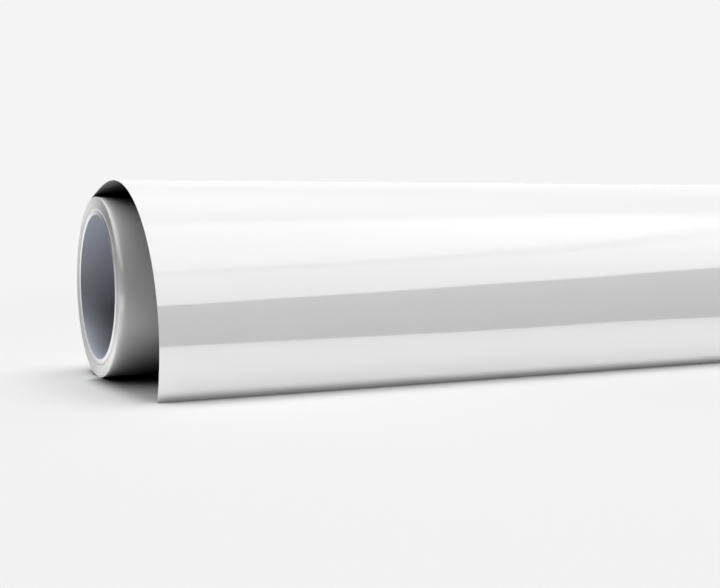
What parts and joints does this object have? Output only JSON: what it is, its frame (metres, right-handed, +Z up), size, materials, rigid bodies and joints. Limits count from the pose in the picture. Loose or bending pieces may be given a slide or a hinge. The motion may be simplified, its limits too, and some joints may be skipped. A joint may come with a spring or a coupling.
{
  "type": "roll of sign vinyl",
  "caption": "Roll of self-adhesive white sign vinyl on a paper core, with release liner, and a loose leading sheet that curls down to the floor.",
  "frame": {"origin": "on the axis of the core's bore, halfway along the roll", "axes": "+X along the bore and the roll's length; +Z up; -Y is the front, where the loose sheet comes down to the floor"},
  "size_m": [0.61, 0.1634, 0.1023],
  "materials": {
    "vinyl_film": "gloss",
    "release_liner": "satin",
    "core_board": "matte",
    "bore_paper": "matte",
    "cover_paper": "matte",
    "tape": "satin"
  },
  "bodies": {
    "roll": {"core_board_tube": "core_board", "core_inner_ply": "bore_paper", "core_outer_ply": "cover_paper", "outer_wrap_film": "vinyl_film", "outer_wrap_liner": "release_liner", "start_tape": "tape", "wound_film": "vinyl_film", "wound_liner": "release_liner"},
    "tail_01": {"tail_film_01": "vinyl_film", "tail_liner_01": "release_liner"},
    "tail_02": {"tail_film_02": "vinyl_film", "tail_liner_02": "release_liner"},
    "tail_03": {"tail_film_03": "vinyl_film", "tail_liner_03": "release_liner"},
    "tail_04": {"tail_film_04": "vinyl_film", "tail_liner_04": "release_liner"},
    "tail_05": {"tail_film_05": "vinyl_film", "tail_liner_05": "release_liner"},
    "tail_06": {"tail_film_06": "vinyl_film", "tail_liner_06": "release_liner"},
    "tail_07": {"tail_film_07": "vinyl_film", "tail_liner_07": "release_liner"},
    "tail_08": {"tail_film_08": "vinyl_film", "tail_liner_08": "release_liner"},
    "tail_09": {"tail_film_09": "vinyl_film", "tail_liner_09": "release_liner"},
    "tail_10": {"tail_film_10": "vinyl_film", "tail_liner_10": "release_liner"},
    "peel_1": {"peel_film_1": "vinyl_film"},
    "peel_2": {"peel_film_2": "vinyl_film"},
    "peel_3": {"peel_film_3": "vinyl_film"}
  },
  "joints": [
    {"name": "tail_curl_01", "type": "hinge", "parent": "roll", "child": "tail_01", "pos_m": [0, 0.001, 0.04878], "axis": [1, 0, 0], "range_deg": [-11.06, 17.69]},
    {"name": "tail_curl_02", "type": "hinge", "parent": "tail_01", "child": "tail_02", "pos_m": [0, -0.01627, 0.05254], "axis": [1, 0, 0], "range_deg": [-11.28, 18.02]},
    {"name": "tail_curl_03", "type": "hinge", "parent": "tail_02", "child": "tail_03", "pos_m": [0, -0.03381, 0.05447], "axis": [1, 0, 0], "range_deg": [-6.13, 9.78]},
    {"name": "tail_curl_04", "type": "hinge", "parent": "tail_03", "child": "tail_04", "pos_m": [0, -0.05138, 0.05316], "axis": [1, 0, 0], "range_deg": [-4.69, 7.47]},
    {"name": "tail_curl_05", "type": "hinge", "parent": "tail_04", "child": "tail_05", "pos_m": [0, -0.06821, 0.04799], "axis": [1, 0, 0], "range_deg": [-4.7, 7.49]},
    {"name": "tail_curl_06", "type": "hinge", "parent": "tail_05", "child": "tail_06", "pos_m": [0, -0.08349, 0.03921], "axis": [1, 0, 0], "range_deg": [-5.07, 8.08]},
    {"name": "tail_curl_07", "type": "hinge", "parent": "tail_06", "child": "tail_07", "pos_m": [0, -0.09658, 0.0274], "axis": [1, 0, 0], "range_deg": [-4.83, 7.7]},
    {"name": "tail_curl_08", "type": "hinge", "parent": "tail_07", "child": "tail_08", "pos_m": [0, -0.10678, 0.01304], "axis": [1, 0, 0], "range_deg": [-4.09, 6.52]},
    {"name": "tail_curl_09", "type": "hinge", "parent": "tail_08", "child": "tail_09", "pos_m": [0, -0.11331, -0.00331], "axis": [1, 0, 0], "range_deg": [-3.65, 5.81]},
    {"name": "tail_curl_10", "type": "hinge", "parent": "tail_09", "child": "tail_10", "pos_m": [0, -0.11558, -0.02076], "axis": [1, 0, 0], "range_deg": [-4.93, 7.85]},
    {"name": "film_peel_1", "type": "hinge", "parent": "tail_10", "child": "peel_1", "pos_m": [0, -0.11553, -0.0243], "axis": [-1, 0, 0], "range_deg": [0, 32]},
    {"name": "film_peel_2", "type": "hinge", "parent": "peel_1", "child": "peel_2", "pos_m": [0, -0.11473, -0.03225], "axis": [-1, 0, 0], "range_deg": [-0.05, 32.05]},
    {"name": "film_peel_3", "type": "hinge", "parent": "peel_2", "child": "peel_3", "pos_m": [0, -0.11307, -0.04006], "axis": [-1, 0, 0], "range_deg": [-0.05, 32.05]}
  ],
  "couplings": [
    {"joint": "tail_curl_02", "follows": "tail_curl_01", "ratio": 1.0158},
    {"joint": "tail_curl_03", "follows": "tail_curl_01", "ratio": 0.55},
    {"joint": "tail_curl_04", "follows": "tail_curl_01", "ratio": 0.4194},
    {"joint": "tail_curl_05", "follows": "tail_curl_01", "ratio": 0.4206},
    {"joint": "tail_curl_06", "follows": "tail_curl_01", "ratio": 0.4539},
    {"joint": "tail_curl_07", "follows": "tail_curl_01", "ratio": 0.4324},
    {"joint": "tail_curl_08", "follows": "tail_curl_01", "ratio": 0.3657},
    {"joint": "tail_curl_09", "follows": "tail_curl_01", "ratio": 0.3256},
    {"joint": "tail_curl_10", "follows": "tail_curl_01", "ratio": 0.4409},
    {"joint": "film_peel_2", "follows": "film_peel_1", "ratio": 1},
    {"joint": "film_peel_3", "follows": "film_peel_1", "ratio": 1}
  ]
}
